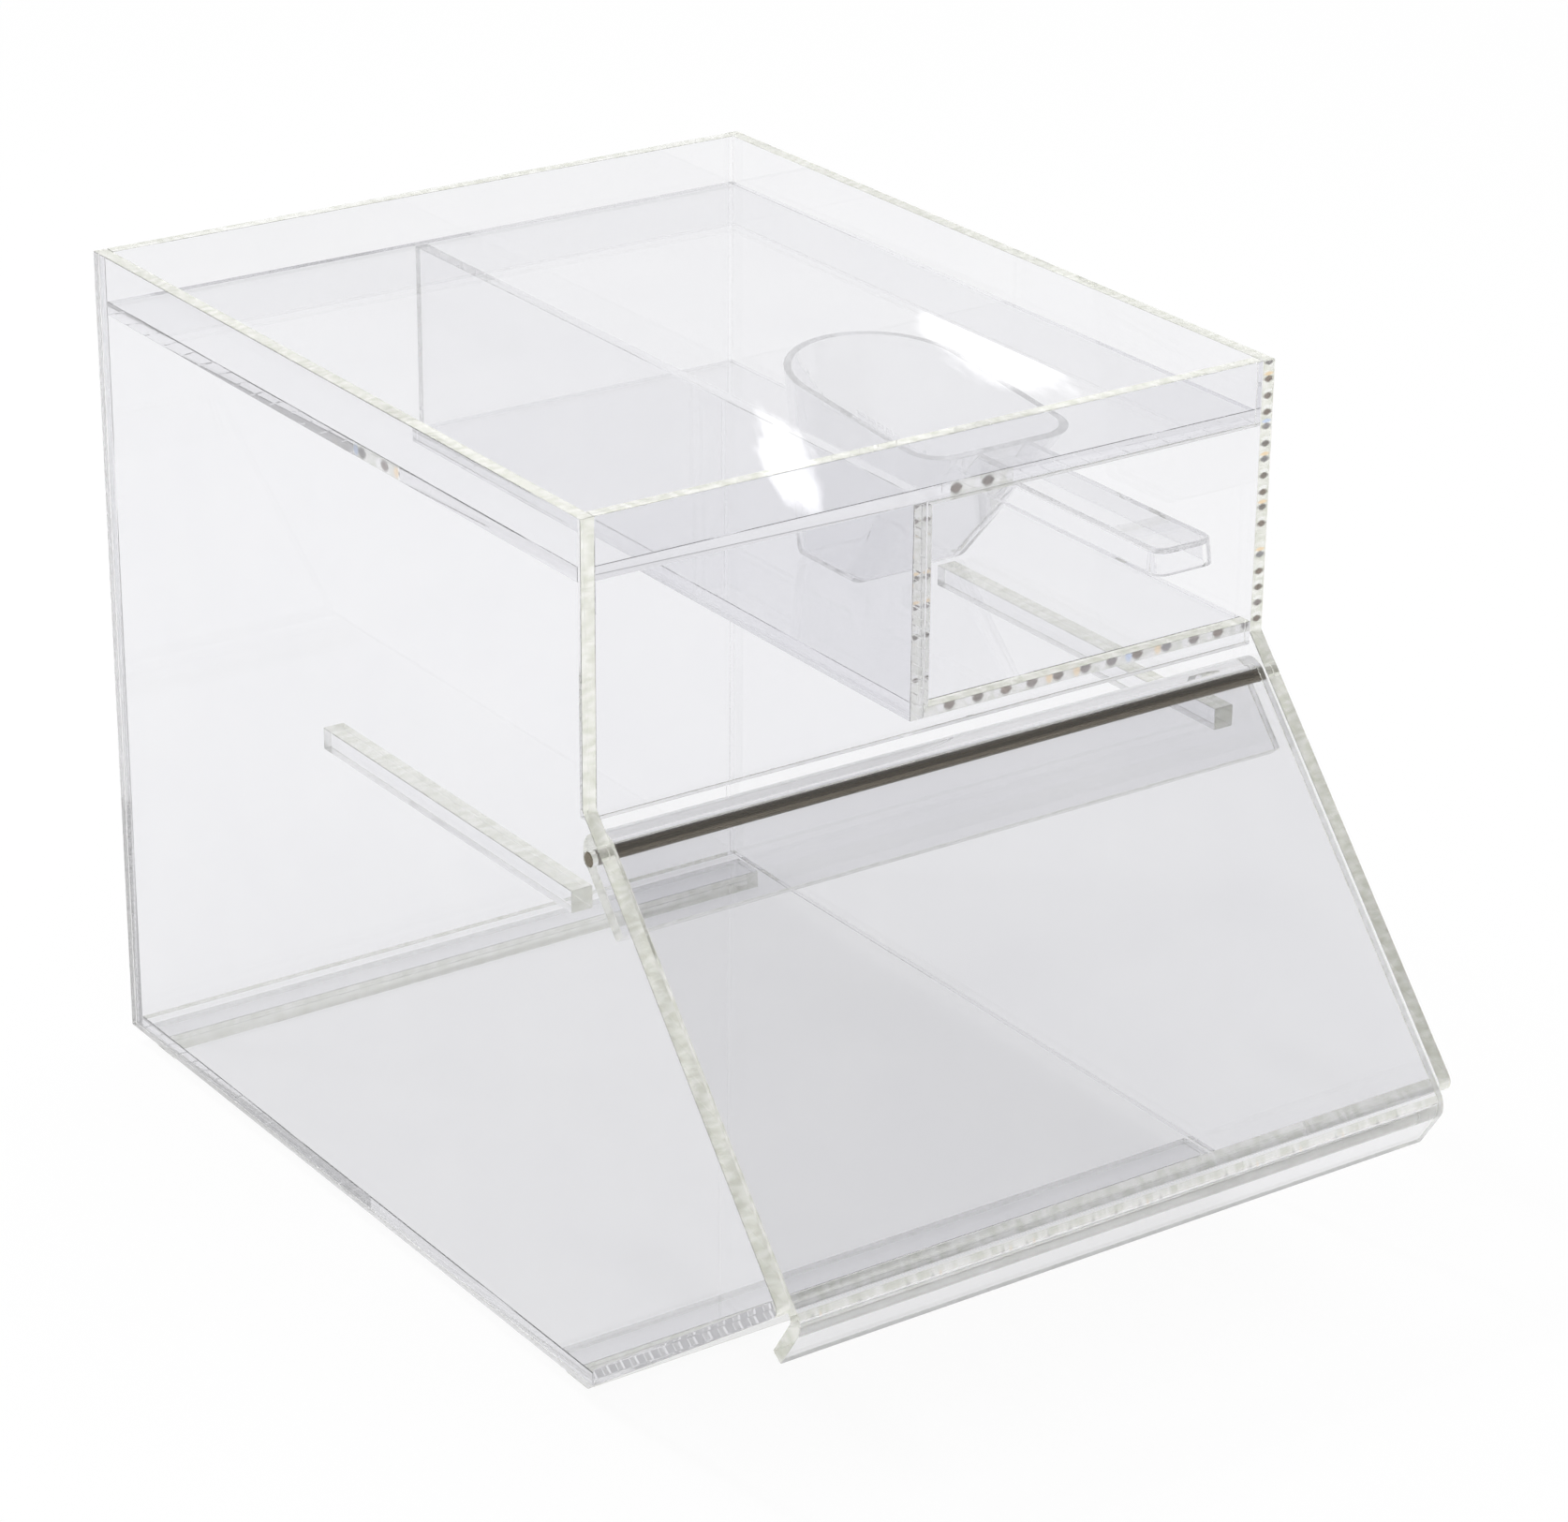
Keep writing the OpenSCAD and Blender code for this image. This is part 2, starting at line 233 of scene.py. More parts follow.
def cast_acrylic_cut_edge():
    """The same sheet where the saw went through it and a scraper followed. Light gathered
    in the sheet leaves here, pale yellow-green, which a faint painted glow stands for. What the
    saw's shallow scallops refract is painted on as lens-shaped marks, painted shade and painted
    highlights by turns."""
    material, tree = new_material("cast_acrylic_sawn_edge_painted_highlights")
    along = add(tree, "ShaderNodeUVMap", uv_map="cut_edge")
    parts = add(tree, "ShaderNodeSeparateXYZ", {"Vector": along.outputs["UV"]})
    marks = add(tree, "ShaderNodeAttribute", attribute_name="painted_mark_share")

    cell = add(tree, "ShaderNodeMath", {0: parts.outputs["X"]}, operation="FLOOR")
    within = add(tree, "ShaderNodeMath", {0: parts.outputs["X"]}, operation="FRACT")
    chance = add(tree, "ShaderNodeTexWhiteNoise", {"W": cell.outputs["Value"]},
                 noise_dimensions="1D")
    jitter = add(tree, "ShaderNodeMapRange", {
        "Value": chance.outputs["Value"], "To Min": 0.36, "To Max": 0.56,
    })

    def lens_mask(offset, half_length):
        """A lens in each cell: 1 at its middle, 0 at its outline and beyond."""
        centre = add(tree, "ShaderNodeMath", {0: jitter.outputs["Result"], 1: offset},
                     operation="ADD")
        away = add(tree, "ShaderNodeMath", {
            0: within.outputs["Value"], 1: centre.outputs["Value"],
        }, operation="SUBTRACT")
        scaled = add(tree, "ShaderNodeMath", {0: away.outputs["Value"], 1: half_length},
                     operation="DIVIDE")
        squared = add(tree, "ShaderNodeMath", {0: scaled.outputs["Value"], 1: 2.0},
                      operation="POWER")
        across = add(tree, "ShaderNodeMath", {0: parts.outputs["Y"]}, operation="ABSOLUTE")
        wide = add(tree, "ShaderNodeMath", {0: across.outputs["Value"], 1: LENS_HALF_WIDTH},
                   operation="DIVIDE")
        both = add(tree, "ShaderNodeMath", {
            0: squared.outputs["Value"], 1: wide.outputs["Value"],
        }, operation="ADD")
        return add(tree, "ShaderNodeMapRange", {
            "Value": both.outputs["Value"],
            "From Min": 1.0, "From Max": 0.4, "To Min": 0.0, "To Max": 1.0,
        }, interpolation_type="SMOOTHSTEP")

    painted_shade_lens = lens_mask(0.0, SHADE_LENS_HALF_LENGTH)
    painted_highlight_lens = lens_mask(HIGHLIGHT_AFTER_SHADE_LENS, HIGHLIGHT_LENS_HALF_LENGTH)
    present = add(tree, "ShaderNodeMath", {
        0: chance.outputs["Value"], 1: marks.outputs["Fac"],
    }, operation="LESS_THAN")
    painted_shade_share = add(tree, "ShaderNodeMath", {
        0: painted_shade_lens.outputs["Result"], 1: present.outputs["Value"],
    }, operation="MULTIPLY")
    painted_highlight_share = add(tree, "ShaderNodeMath", {
        0: painted_highlight_lens.outputs["Result"], 1: present.outputs["Value"],
    }, operation="MULTIPLY")

    # Dark lenses in brown and blue: painted shade, with the colours that the scallops spread
    painted_shade_ramp = add(tree, "ShaderNodeValToRGB", {"Fac": chance.outputs["Color"]})
    ramp = painted_shade_ramp.color_ramp
    ramp.elements[0].color = linear("#3d3f3f")
    ramp.elements[1].color = linear("#6d7480")
    ramp.elements.new(0.45).color = linear("#5b4a40")
    # Bright lenses in white, warm and cool: painted highlights
    painted_highlight_ramp = add(tree, "ShaderNodeValToRGB", {"Fac": chance.outputs["Value"]})
    ramp = painted_highlight_ramp.color_ramp
    ramp.interpolation = "CONSTANT"
    ramp.elements[0].color = linear("#ffffff")
    ramp.elements[1].color = linear("#ffd9a6")
    ramp.elements[1].position = 0.4
    ramp.elements.new(0.6).color = linear("#ffffff")
    ramp.elements.new(0.75).color = linear("#bcd3ff")

    # The edge's own pale yellow-green, painted lighter and darker in streaks: painted sheen, where the
    # scraped surface sends more or less light on
    streaks = add(tree, "ShaderNodeMapping", {
        "Vector": along.outputs["UV"], "Scale": (GRAINS_ALONG, GRAINS_ACROSS, 1.0),
    })
    grain = add(tree, "ShaderNodeTexNoise", {
        "Vector": streaks.outputs["Vector"], "Scale": 1.0, "Detail": 6.0,
    })
    painted_sheen_patches = add(tree, "ShaderNodeMapRange", {
        "Value": grain.outputs["Fac"], "From Min": 0.38, "From Max": 0.6,
    })
    edge_tone_with_painted_sheen = add(tree, "ShaderNodeMix", {
        "Factor": painted_sheen_patches.outputs["Result"],
        "A": linear("#dddfd2"), "B": linear("#fdfdf9"),
    }, data_type="RGBA")
    with_painted_highlights = add(tree, "ShaderNodeMix", {
        "Factor": painted_highlight_share.outputs["Value"],
        "A": edge_tone_with_painted_sheen.outputs["Result"], "B": painted_highlight_ramp.outputs["Color"],
    }, data_type="RGBA")
    with_painted_shade = add(tree, "ShaderNodeMix", {
        "Factor": painted_shade_share.outputs["Value"],
        "A": with_painted_highlights.outputs["Result"], "B": painted_shade_ramp.outputs["Color"],
    }, data_type="RGBA")
    bump = add(tree, "ShaderNodeBump", {
        "Height": grain.outputs["Fac"], "Strength": 0.35, "Distance": 0.02 * MM,
    })
    surface = add(tree, "ShaderNodeBsdfPrincipled", {
        "Base Color": with_painted_shade.outputs["Result"],
        "Roughness": 0.04,
        "Normal": bump.outputs["Normal"],
        "IOR": 1.49,
        "Transmission Weight": 0.75,
        # A faint painted glow, for light that the sheet gathers and lets out at its edges
        "Emission Color": linear("#fbfbf4"),
        "Emission Strength": 0.04,
    })
    let_lamps_through(tree, surface, "#8a8b86")
    return material


def moulded_clear_plastic():
    """Injection-moulded SAN: clear, a little greyer than sheet, with soft flow waves and
    fine scuffs from use."""
    material, tree = new_material("moulded_clear_san")
    place = add(tree, "ShaderNodeTexCoord").outputs["Object"]
    flow = add(tree, "ShaderNodeTexNoise", {"Vector": place, "Scale": 1 / FLOW_WAVE, "Detail": 2.0})
    scuffs = add(tree, "ShaderNodeTexNoise", {"Vector": place, "Scale": 1 / SCUFF, "Detail": 3.0})
    rough = add(tree, "ShaderNodeMapRange", {
        "Value": scuffs.outputs["Fac"],
        "From Min": 0.4, "From Max": 0.7, "To Min": 0.0, "To Max": 0.05,
    })
    tone = add(tree, "ShaderNodeMix", {
        "Factor": flow.outputs["Fac"],
        "A": linear("#fafafb"), "B": linear("#f6f6f7"),
    }, data_type="RGBA")
    bump = add(tree, "ShaderNodeBump", {
        "Height": flow.outputs["Fac"], "Strength": 0.3, "Distance": 0.1 * MM,
    })
    surface = add(tree, "ShaderNodeBsdfPrincipled", {
        "Base Color": tone.outputs["Result"],
        "Roughness": rough.outputs["Result"],
        "Normal": bump.outputs["Normal"],
        "IOR": 1.5,
        "Transmission Weight": 1.0,
    })
    let_lamps_through(tree, surface, "#f4f4f4")
    return material


def drawn_steel():
    """Cold-drawn steel rod, dull brown-grey, with die lines along its length. Real die lines
    are finer than shows, so they are drawn 0.4 mm apart."""
    material, tree = new_material("drawn_steel_rod")
    place = add(tree, "ShaderNodeTexCoord").outputs["Object"]
    lines = add(tree, "ShaderNodeMapping", {
        "Vector": place, "Scale": (1 / DIE_LINE_LENGTH, 1 / DIE_LINE, 1 / DIE_LINE),
    })
    die = add(tree, "ShaderNodeTexNoise", {
        "Vector": lines.outputs["Vector"], "Scale": 1.0, "Detail": 3.0,
    })
    tone = add(tree, "ShaderNodeMix", {
        "Factor": die.outputs["Fac"],
        "A": linear("#5b5447"), "B": linear("#857d6f"),
    }, data_type="RGBA")
    rough = add(tree, "ShaderNodeMapRange", {
        "Value": die.outputs["Fac"], "To Min": 0.18, "To Max": 0.36,
    })
    bump = add(tree, "ShaderNodeBump", {
        "Height": die.outputs["Fac"], "Strength": 0.3, "Distance": 0.02 * MM,
    })
    surface = add(tree, "ShaderNodeBsdfPrincipled", {
        "Base Color": tone.outputs["Result"],
        "Roughness": rough.outputs["Result"],
        "Normal": bump.outputs["Normal"],
        "Metallic": 1.0,
    })
    add(tree, "ShaderNodeOutputMaterial", {"Surface": surface.outputs["BSDF"]})
    return material


# The finishes
face_finish = cast_acrylic_face("cast_acrylic_polished_face", "#f8f8f9", "#f4f4f6")
# The lid's sheet is tinted a little greyer than the other sheets: painted shade, for the darker look of the
# slanted lid
lid_with_painted_shade = cast_acrylic_face("cast_acrylic_lid_painted_shade", "#f5f5f6", "#f1f1f3")
sawn_edge_with_painted_highlights = cast_acrylic_cut_edge()
scoop_finish = moulded_clear_plastic()
rod_finish = drawn_steel()


def hand_over(bm, name, body, finishes):
    """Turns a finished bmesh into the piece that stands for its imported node. Normals weighted
    by area keep flat faces flat beside their bends, so that they don't act as lenses."""
    mesh = bpy.data.meshes.new(name)
    bm.to_mesh(mesh)
    bm.free()
    for finish in finishes:
        mesh.materials.append(finish)
    piece = bpy.data.objects.new(name + "_dressed", mesh)
    bpy.context.scene.collection.objects.link(piece)
    if any(face.use_smooth for face in mesh.polygons):
        weighted = piece.modifiers.new("flat_faces", "WEIGHTED_NORMAL")
        weighted.weight = 100
        weighted.keep_sharp = True
    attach(piece, body)
    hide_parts(name)


def break_corners(bm, least_turn=math.radians(50)):
    """Scrapes the corners of a solid that turn by more than the least turn."""
    sharp = [e for e in bm.edges if len(e.link_faces) == 2 and e.calc_face_angle() > least_turn]
    bmesh.ops.bevel(bm, geom=sharp, offset=EDGE_BREAK, segments=BREAK_STEPS, profile=0.5,
                    affect="EDGES", material=-1, clamp_overlap=True)


def lay_out_cut_edges(bm, thin, thickness, pitch, marks, welded=()):
    """Gives the cut edges their own material, with its painted saw marks, and a map that runs along
    them in saw pitches and across the sheet's thickness. Each of the marks is a direction that an
    edge faces, an axis with the stretch of it where the painted shade and highlights show, and the
    share of them that shows. An edge that faces a welded direction is wetted by the solvent and looks clear."""
    for _, axis, start, end, _ in marks:
        for level in (start, end):
            bmesh.ops.bisect_plane(bm, geom=bm.verts[:] + bm.edges[:] + bm.faces[:],
                                   plane_co=axis * level, plane_no=axis)
    uv = bm.loops.layers.uv.new("cut_edge")
    layer = bm.faces.layers.float.new("painted_mark_share")
    middle = sum((v.co.dot(thin) for v in bm.verts), 0.0) / len(bm.verts)
    for face in bm.faces:
        if abs(face.normal.dot(thin)) > SQUARELY:
            continue
        clear = any(way.dot(face.normal) > SQUARELY for way in welded)
        face.material_index = 0 if clear else 1
        tangent = face.normal.cross(thin).normalized()
        centre = face.calc_center_median()
        for facing, axis, start, end, share in marks:
            if facing.dot(face.normal) > SQUARELY and start < centre.dot(axis) < end:
                face.material_index = 1
                face[layer] = share
        for loop in face.loops:
            co = loop.vert.co
            loop[uv].uv = (co.dot(tangent) / pitch, (co.dot(thin) - middle) / thickness)


def slab(outline, thin, start, depth):
    """A sheet cut to an outline, start to start plus depth along its thin direction."""
    bm = bmesh.new()
    corners = [bm.verts.new(point + thin * (start - point.dot(thin))) for point in outline]
    bm.faces.new(corners)
    grown = bmesh.ops.extrude_face_region(bm, geom=bm.faces[:])
    moved = [g for g in grown["geom"] if isinstance(g, bmesh.types.BMVert)]
    bmesh.ops.translate(bm, verts=moved, vec=thin * depth)
    bmesh.ops.recalc_face_normals(bm, faces=bm.faces)
    return bm


def flat_piece(name, thin, pitch=8 * MM, marks=(), welded=()):
    """A plain rectangular piece of sheet, cut on all four sides."""
    low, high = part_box(name)
    film = Vector((WELD_FILM,) * 3)
    size = high - low - 2 * film
    bm = bmesh.new()
    bmesh.ops.create_cube(bm, size=1.0,
                          matrix=Matrix.Translation((low + high) / 2) @ Matrix.Diagonal((*size, 1)))
    break_corners(bm)
    lay_out_cut_edges(bm, thin, abs(size.dot(thin)), pitch, marks, welded)
    hand_over(bm, name, "bin", [face_finish, sawn_edge_with_painted_highlights])


def front_panel_piece():
    """The front panel, with the compartment's mouth sawn out from its right-hand edge."""
    low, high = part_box("front_panel")
    left, right, bottom, top = low.x + WELD_FILM, high.x - WELD_FILM, low.z, high.z
    side, sill, head = mouth_left + WELD_FILM, mouth_low + WELD_FILM, mouth_high - WELD_FILM
    outline = [(left, bottom), (right, bottom), (right, sill), (side, sill),
               (side, head), (right, head), (right, top), (left, top)]
    bm = slab([Vector((x, 0, z)) for x, z in outline], Y, low.y, high.y - low.y - WELD_FILM)
    break_corners(bm)
    lay_out_cut_edges(bm, Y, high.y - low.y, pitch=9 * MM, marks=[], welded=(X, -X))
    hand_over(bm, "front_panel", "bin", [face_finish, sawn_edge_with_painted_highlights])


def side_panel_piece(name, marks):
    """A side panel: the bin's profile, with the nose rounded and a hole for the rod."""
    low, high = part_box(name)
    outline = [Vector((low.x, y, z)) for y, z in (
        (back_face, table_side), (back_face, rim), (front_face, rim),
        (front_face, slant_top), (nose_tip.y, nose_tip.z), (front_face, table_side))]
    bm = bmesh.new()
    corners = [bm.verts.new(point) for point in outline]
    bm.faces.new(corners)
    nose_angle = (-slant_dir).angle(-chin_dir)
    cut_back = NOSE_RADIUS / math.tan(nose_angle / 2)
    bmesh.ops.bevel(bm, geom=[corners[4]], offset=cut_back, segments=NOSE_STEPS, profile=0.5,
                    affect="VERTICES", material=-1, clamp_overlap=True)
    bmesh.ops.delete(bm, geom=bm.faces[:], context="FACES_ONLY")
    turned = Matrix.Rotation(math.pi / 2, 4, "Y")
    bmesh.ops.create_circle(bm, cap_ends=False, radius=rod_radius + HOLE_CLEARANCE, segments=ROUND_STEPS,
                            matrix=Matrix.Translation((low.x, rod_at.y, rod_at.z)) @ turned)
    bmesh.ops.triangle_fill(bm, edges=bm.edges[:], use_beauty=True)
    bmesh.ops.dissolve_limit(bm, angle_limit=FLAT_WITHIN, verts=bm.verts[:], edges=bm.edges[:])
    grown = bmesh.ops.extrude_face_region(bm, geom=bm.faces[:])
    moved = [g for g in grown["geom"] if isinstance(g, bmesh.types.BMVert)]
    bmesh.ops.translate(bm, verts=moved, vec=X * (high.x - low.x))
    bmesh.ops.recalc_face_normals(bm, faces=bm.faces)
    break_corners(bm, least_turn=math.radians(60))
    lay_out_cut_edges(bm, X, high.x - low.x, pitch=5 * MM, marks=marks)
    hand_over(bm, name, "bin", [face_finish, sawn_edge_with_painted_highlights])


def chin_piece():
    """The chin plate, mitred where it meets the base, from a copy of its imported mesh."""
    low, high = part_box("chin_plate")
    bm = bmesh.new()
    bm.from_mesh(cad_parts["chin_plate"].data)
    bmesh.ops.remove_doubles(bm, verts=bm.verts[:], dist=MERGE_WITHIN)
    bmesh.ops.dissolve_limit(bm, angle_limit=FLAT_WITHIN, verts=bm.verts[:], edges=bm.edges[:])
    centre = (low + high) / 2
    wide = high.x - low.x
    squeeze = Matrix.Diagonal(((wide - 2 * WELD_FILM) / wide, CHIN_SQUEEZE, CHIN_SQUEEZE, 1))
    bmesh.ops.transform(bm, verts=bm.verts[:], space=Matrix.Translation(-centre), matrix=squeeze)
    for face in bm.faces:
        face.material_index = 0
    break_corners(bm, least_turn=math.radians(30))
    up = X.cross(chin_dir).normalized()
    lay_out_cut_edges(bm, up, sheet, pitch=7 * MM, marks=[], welded=(X, -X, Y, -Y))
    hand_over(bm, "chin_plate", "bin", [face_finish, sawn_edge_with_painted_highlights])


def lid_point(along, depth):
    """A point of the lid's section: along the slant from the rod, and inwards from it."""
    place = rod_at + slant_dir * along + inward * depth
    return Vector((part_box("lid")[0].x, place.y, place.z))


def last_edge(result):
    """The open end of a section after a spin."""
    return [g for g in result["geom_last"] if isinstance(g, (bmesh.types.BMVert, bmesh.types.BMEdge))]


def draw_on(bm, geom, vec):
    """Runs the open end of a section straight on, and returns its new end."""
    grown = bmesh.ops.extrude_edge_only(bm, edges=[g for g in geom if isinstance(g, bmesh.types.BMEdge)])
    fresh = grown["geom"]
    bmesh.ops.translate(bm, verts=[g for g in fresh if isinstance(g, bmesh.types.BMVert)], vec=vec)
    return [g for g in fresh if isinstance(g, (bmesh.types.BMVert, bmesh.types.BMEdge))]


def lid_piece():
    """The lid: one sheet bent over a hot wire, back over the rod at the top and up into a
    finger lip at the nose."""
    low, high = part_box("lid")
    lid_front = low.y
    # The outer face of the bend touches the lid's foremost plane
    bend_along = ((lid_front + NOSE_BEND_RADIUS + sheet - rod_at.y
                   - inward.y * (NOSE_BEND_RADIUS - fold_inner)) / slant_dir.y)
    bm = bmesh.new()
    tail = bm.edges.new([bm.verts.new(lid_point(RETURN_LENGTH, depth)) for depth in (fold_inner, fold_outer)])
    end = draw_on(bm, [tail], slant_dir * -RETURN_LENGTH)
    turn = 1 if X.cross(inward).dot(slant_dir) < 0 else -1
    fold = bmesh.ops.spin(bm, geom=end, cent=lid_point(0, 0), axis=X * turn, angle=math.pi,
                          steps=FOLD_STEPS, use_merge=False)
    end = draw_on(bm, last_edge(fold), slant_dir * bend_along)
    bend = bmesh.ops.spin(bm, geom=end, cent=lid_point(bend_along, NOSE_BEND_RADIUS - fold_inner),
                          axis=X * turn, angle=LIP_TURN, steps=BEND_STEPS, use_merge=False)
    lip_dir = slant_dir * math.cos(LIP_TURN) + inward * math.sin(LIP_TURN)
    draw_on(bm, last_edge(bend), lip_dir * LIP_LENGTH)
    bmesh.ops.remove_doubles(bm, verts=bm.verts[:], dist=MERGE_WITHIN)
    grown = bmesh.ops.extrude_face_region(bm, geom=bm.faces[:])
    moved = [g for g in grown["geom"] if isinstance(g, bmesh.types.BMVert)]
    bmesh.ops.translate(bm, verts=moved, vec=X * (high.x - low.x))
    bmesh.ops.recalc_face_normals(bm, faces=bm.faces)
    break_corners(bm, least_turn=math.radians(60))

    uv = bm.loops.layers.uv.new("cut_edge")
    layer = bm.faces.layers.float.new("painted_mark_share")
    for face in bm.faces:
        centre = face.calc_center_median() - rod_at
        along = centre.dot(slant_dir)
        at_side = abs(face.normal.x) > LOOSELY
        at_lip = along > bend_along and face.normal.dot(lip_dir) > LOOSELY
        at_tail = (centre.dot(inward) > 0 and along < 2 * RETURN_LENGTH
                   and face.normal.dot(slant_dir) > LOOSELY)
        if at_side or at_lip or at_tail:
            face.material_index = 1
            face[layer] = LIP_END_MARKS if at_lip else LID_EDGE_MARKS
        face.smooth = True
        run = slant_dir if at_side else X
        for loop in face.loops:
            co = loop.vert.co
            loop[uv].uv = (co.dot(run) / LID_SAW_PITCH, (co - rod_at).dot(inward) / sheet)
    for edge in bm.edges:
        edge.smooth = len(edge.link_faces) == 2 and edge.calc_face_angle() < math.radians(30)
    hand_over(bm, "lid", "lid", [lid_with_painted_shade, sawn_edge_with_painted_highlights])


def rod_piece():
    """The hinge rod, cut flush with the side panels and chamfered at both ends."""
    bm = bmesh.new()
    turned = Matrix.Rotation(math.pi / 2, 4, "Y")
    bmesh.ops.create_cone(bm, cap_ends=True, segments=ROUND_STEPS, radius1=rod_radius, radius2=rod_radius,
                          depth=rod_high.x - rod_low.x, matrix=Matrix.Translation(rod_at) @ turned)
    ends = [e for e in bm.edges if e.calc_face_angle() > math.radians(60)]
    bmesh.ops.bevel(bm, geom=ends, offset=ROD_CHAMFER, segments=BREAK_STEPS, profile=0.5,
                    affect="EDGES", material=-1)
    for face in bm.faces:
        face.smooth = abs(face.normal.x) < LOOSELY
    hand_over(bm, "hinge_rod", "bin", [rod_finish])


def rounded_ring(bm, half_width, start, end, level, near_radius, far_radius):
    """A level outline of the scoop: straight sides with rounded corners, as loose edges."""
    corners = [bm.verts.new((x, y, level)) for x, y in (
        (-half_width, start), (half_width, start), (half_width, end), (-half_width, end))]
    face = bm.faces.new(corners)
    for pair, radius in ((corners[:2], near_radius), (corners[2:], far_radius)):
        bmesh.ops.bevel(bm, geom=pair, offset=radius, segments=CORNER_STEPS, profile=0.5,
                        affect="VERTICES", material=-1, clamp_overlap=True)
    ring = [f for f in bm.faces if abs(f.calc_center_median().z - level) < LEVEL_SLACK]
    edges = list({e for f in ring for e in f.edges})
    bmesh.ops.delete(bm, geom=ring, context="FACES_ONLY")
    return edges


def bowl_form(inset, floor_level, top_level):
    """The bowl's outer or inner form, from its flat bottom up to a level outline."""
    bottom_start = HANDLE_LENGTH + BACK_LEAN
    bottom_end = bottom_start + BOTTOM_LENGTH
    lip_end = bottom_end + LIP_LEAN
    back = bottom_start - BACK_LEAN * LIP_HEIGHT / BACK_HEIGHT
    bm = bmesh.new()
    low_ring = rounded_ring(bm, BOTTOM_WIDTH / 2 - inset, bottom_start + inset, bottom_end - inset,
                            floor_level, BOTTOM_CORNER, BOTTOM_CORNER)
    high_ring = rounded_ring(bm, RIM_WIDTH / 2 - inset, back + inset, lip_end - inset, top_level,
                             RIM_CORNER - inset, (RIM_WIDTH / 2 - inset) * LIP_ROUND_SHARE)
    bmesh.ops.bridge_loops(bm, edges=low_ring + high_ring)
    bmesh.ops.holes_fill(bm, edges=[e for e in bm.edges if e.is_boundary], sides=0)
    bmesh.ops.recalc_face_normals(bm, faces=bm.faces)
    bottom = [e for e in bm.edges if all(abs(v.co.z - floor_level) < LEVEL_SLACK for v in e.verts)]
    bmesh.ops.bevel(bm, geom=bottom, offset=BOTTOM_ROUND - inset / 2, segments=SMALL_ROUND_STEPS,
                    profile=0.5, affect="EDGES", material=-1, clamp_overlap=True)
    return bm


def handle_form(inset, low, high):
    """The handle's bar, drawn in by a wall, from a level up to a level."""
    bm = bmesh.new()
    end_half, root_half = HANDLE_END_WIDTH / 2 - inset, HANDLE_ROOT_WIDTH / 2 - inset
    corners = [bm.verts.new((x, y, low)) for x, y in (
        (-end_half, inset), (end_half, inset),
        (root_half, HANDLE_LENGTH + RIM_CORNER), (-root_half, HANDLE_LENGTH + RIM_CORNER))]
    bm.faces.new(corners)
    bmesh.ops.bevel(bm, geom=corners[:2], offset=HANDLE_CORNER - inset, segments=CORNER_STEPS,
                    profile=0.5, affect="VERTICES", material=-1, clamp_overlap=True)
    grown = bmesh.ops.extrude_face_region(bm, geom=bm.faces[:])
    moved = [g for g in grown["geom"] if isinstance(g, bmesh.types.BMVert)]
    bmesh.ops.translate(bm, verts=moved, vec=Z * (high - low))
    draft = Matrix.Diagonal((*HANDLE_DRAFT, 1, 1))
    pivot = Matrix.Translation((0, -HANDLE_LENGTH, 0))
    bmesh.ops.transform(bm, verts=moved, space=pivot, matrix=draft)
    bmesh.ops.recalc_face_normals(bm, faces=bm.faces)
    return bm


def loose_object(bm, name):
    """A plain object that holds a finished bmesh, for the Boolean steps."""
    mesh = bpy.data.meshes.new(name)
    bm.to_mesh(mesh)
    bm.free()
    made = bpy.data.objects.new(name, mesh)
    bpy.context.scene.collection.objects.link(made)
    return made


def combined(base, others):
    """The base solid with the others joined to it or cut from it, as a new bmesh."""
    for operation, tool in others:
        step = base.modifiers.new("step", "BOOLEAN")
        step.operation = operation
        step.object = tool
        step.solver = "EXACT"
    bpy.context.view_layer.update()
    worked = base.evaluated_get(bpy.context.evaluated_depsgraph_get())
    bm = bmesh.new()
    bm.from_mesh(worked.to_mesh())
    for made in [base] + [tool for _, tool in others]:
        bpy.data.objects.remove(made)
    return bm


